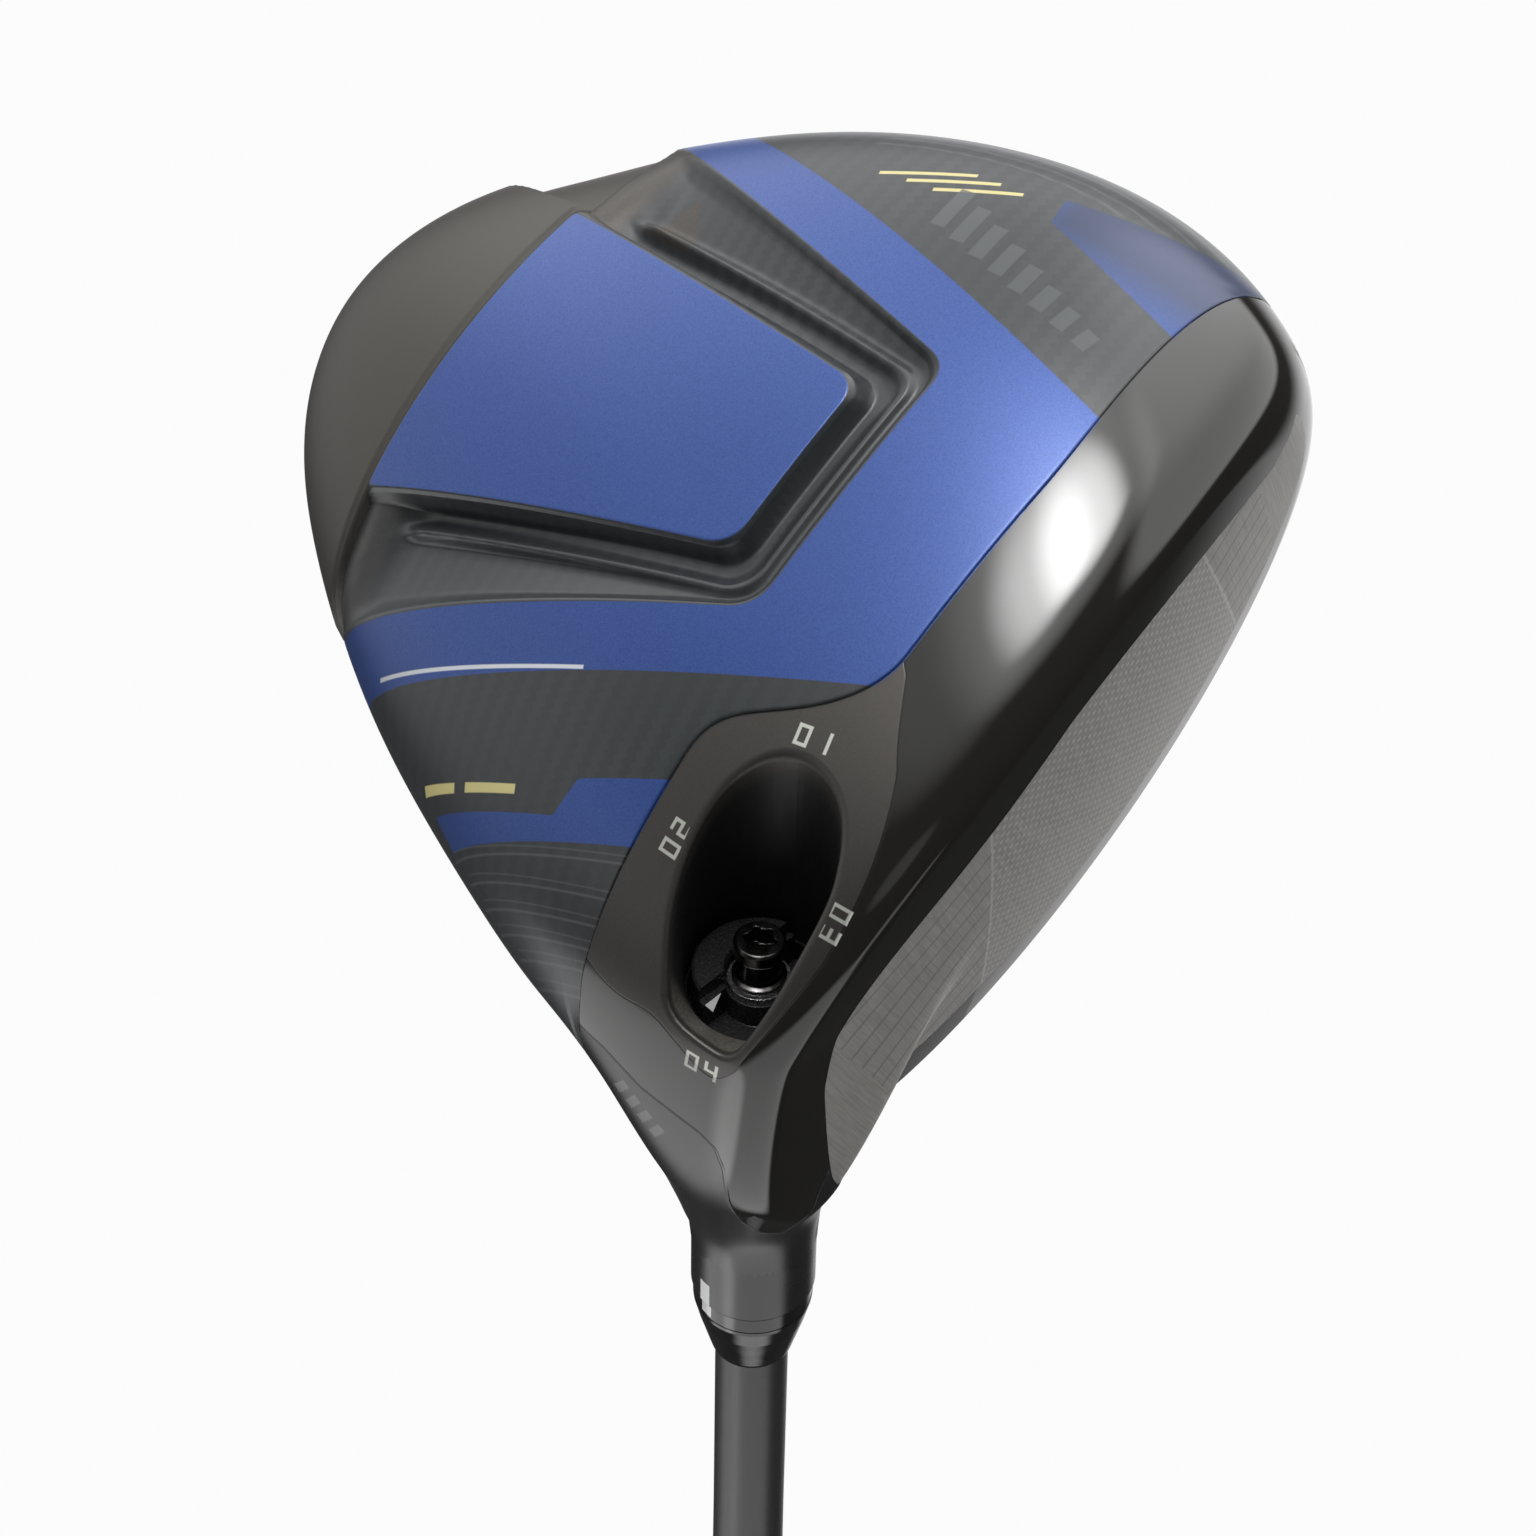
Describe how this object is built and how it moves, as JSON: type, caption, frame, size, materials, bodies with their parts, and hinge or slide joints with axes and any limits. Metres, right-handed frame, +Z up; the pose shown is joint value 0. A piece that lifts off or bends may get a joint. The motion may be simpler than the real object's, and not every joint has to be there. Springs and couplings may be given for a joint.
{
  "type": "golf driver",
  "caption": "Adjustable right-handed golf driver: hollow rounded head with raised sole island, hosel dial and screw, tapered shaft and rubber grip.",
  "frame": {"origin": "the point of the ground plane under the middle of the leading edge, with the club at address", "axes": "+X from heel to toe, +Y towards the target (the way the face looks), +Z up; the shaft leaves the ground at the lie angle towards -X"},
  "size_m": [0.6903, 0.1156, 0.997],
  "materials": {
    "gloss_black_titanium": "polished black coating over titanium",
    "face_titanium": "brushed dark face with score lines",
    "crown_lacquer": "gloss black lacquer over composite",
    "sole_composite": "metallic blue and black lacquer over composite",
    "weight_satin": "satin grey-brown plated metal",
    "bare_titanium": "bare titanium, inside only",
    "port_black": "satin black",
    "sleeve_aluminium": "machined",
    "epoxy": "cured adhesive film",
    "plug": "moulded",
    "ferrule_black": "gloss black",
    "shaft_graphite": "satin dark grey paint over carbon fibre",
    "tape": "double-sided tape",
    "grip_rubber": "textured black rubber",
    "cap_rubber": "smooth black rubber",
    "dial_black": "black anodised",
    "pointer_white": "white paint inlay",
    "screw_steel": "black oxide steel",
    "washer_steel": "plain steel"
  },
  "bodies": {
    "head": {"front_body": "gloss_black_titanium", "face_plate": "face_titanium", "crown_panel": "crown_lacquer", "sole_panel": "sole_composite", "rear_weight": "weight_satin", "bond_ring": "bare_titanium", "sound_ribs": "bare_titanium", "hosel": "gloss_black_titanium", "screw_port": "port_black"},
    "shaft_assembly": {"adaptor_sleeve": "sleeve_aluminium", "tip_epoxy": "epoxy", "tip_plug": "plug", "ferrule": "ferrule_black", "shaft": "shaft_graphite", "grip_tape": "tape", "grip": "grip_rubber", "grip_cap": "cap_rubber"},
    "dial": {"dial_ring": "dial_black", "dial_pointer": "pointer_white"},
    "screw_carrier": {"screw_washer": "washer_steel"},
    "screw": {"retaining_screw": "screw_steel"}
  },
  "joints": [
    {"name": "screw_travel", "type": "slide", "parent": "head", "child": "screw_carrier", "axis": [0.515, 0, -0.8572], "range_m": [0, 0.016]},
    {"name": "screw_turn", "type": "hinge", "parent": "screw_carrier", "child": "screw", "pos_m": [-0.03276, -0.018, 0.01457], "axis": [0.515, 0, -0.8572], "range_deg": [0, 7245]},
    {"name": "dial_turn", "type": "hinge", "parent": "head", "child": "dial", "pos_m": [-0.03636, -0.018, 0.02057], "axis": [0.515, 0, -0.8572], "continuous": true},
    {"name": "shaft_release", "type": "slide", "parent": "head", "child": "shaft_assembly", "axis": [-0.515, 0, 0.8572], "range_m": [0, 0.05]}
  ],
  "couplings": [
    {"joint": "screw_turn", "follows": "screw_travel", "rad_per_m": 7854}
  ]
}
